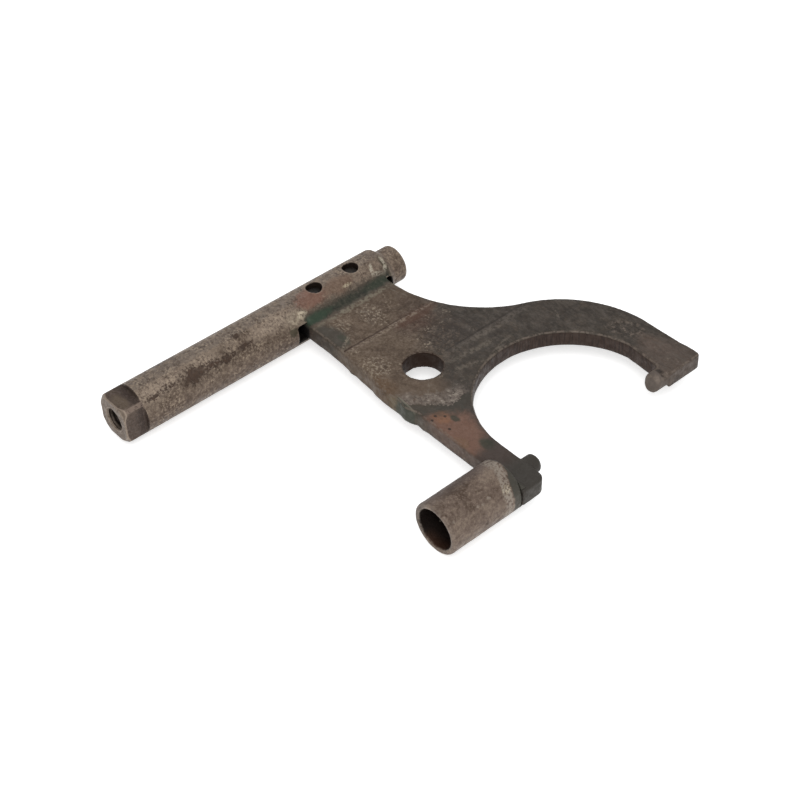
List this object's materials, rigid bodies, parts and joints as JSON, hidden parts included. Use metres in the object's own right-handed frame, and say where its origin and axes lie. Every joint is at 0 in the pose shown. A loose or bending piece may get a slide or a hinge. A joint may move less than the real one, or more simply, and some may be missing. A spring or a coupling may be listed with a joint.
{
  "type": "shift fork",
  "caption": "Pivoting gearbox shift fork: slotted round rail with squared tapped end, profiled steel fork plate with round pads, and a brazed guide sleeve.",
  "frame": {"origin": "centre of the squared end's face, on the rail's axis; the fork plate's mid-plane contains that axis", "axes": "+Y along the rail from the squared end to the stub, +X from the rail towards the jaw, +Z square to the fork plate, up as pictured"},
  "size_m": [0.1744, 0.2231, 0.025],
  "materials": {
    "rail_steel": "dull turned steel, mottled scale and rust pits",
    "plate_steel": "dark oxidised plate with tan crust, rounded edges",
    "sleeve_steel": "mottled beige and brown tube",
    "pin_steel": "dark, dirty pin ends",
    "braze": "dull braze with green-grey verdigris"
  },
  "bodies": {
    "root": {"shift_rail": "rail_steel", "fork_plate": "plate_steel", "guide_sleeve": "sleeve_steel", "near_cross_pin": "pin_steel", "far_cross_pin": "pin_steel", "rail_braze_upper": "braze", "rail_braze_lower": "braze", "sleeve_braze_upper": "braze", "sleeve_braze_lower": "braze"}
  },
  "joints": []
}
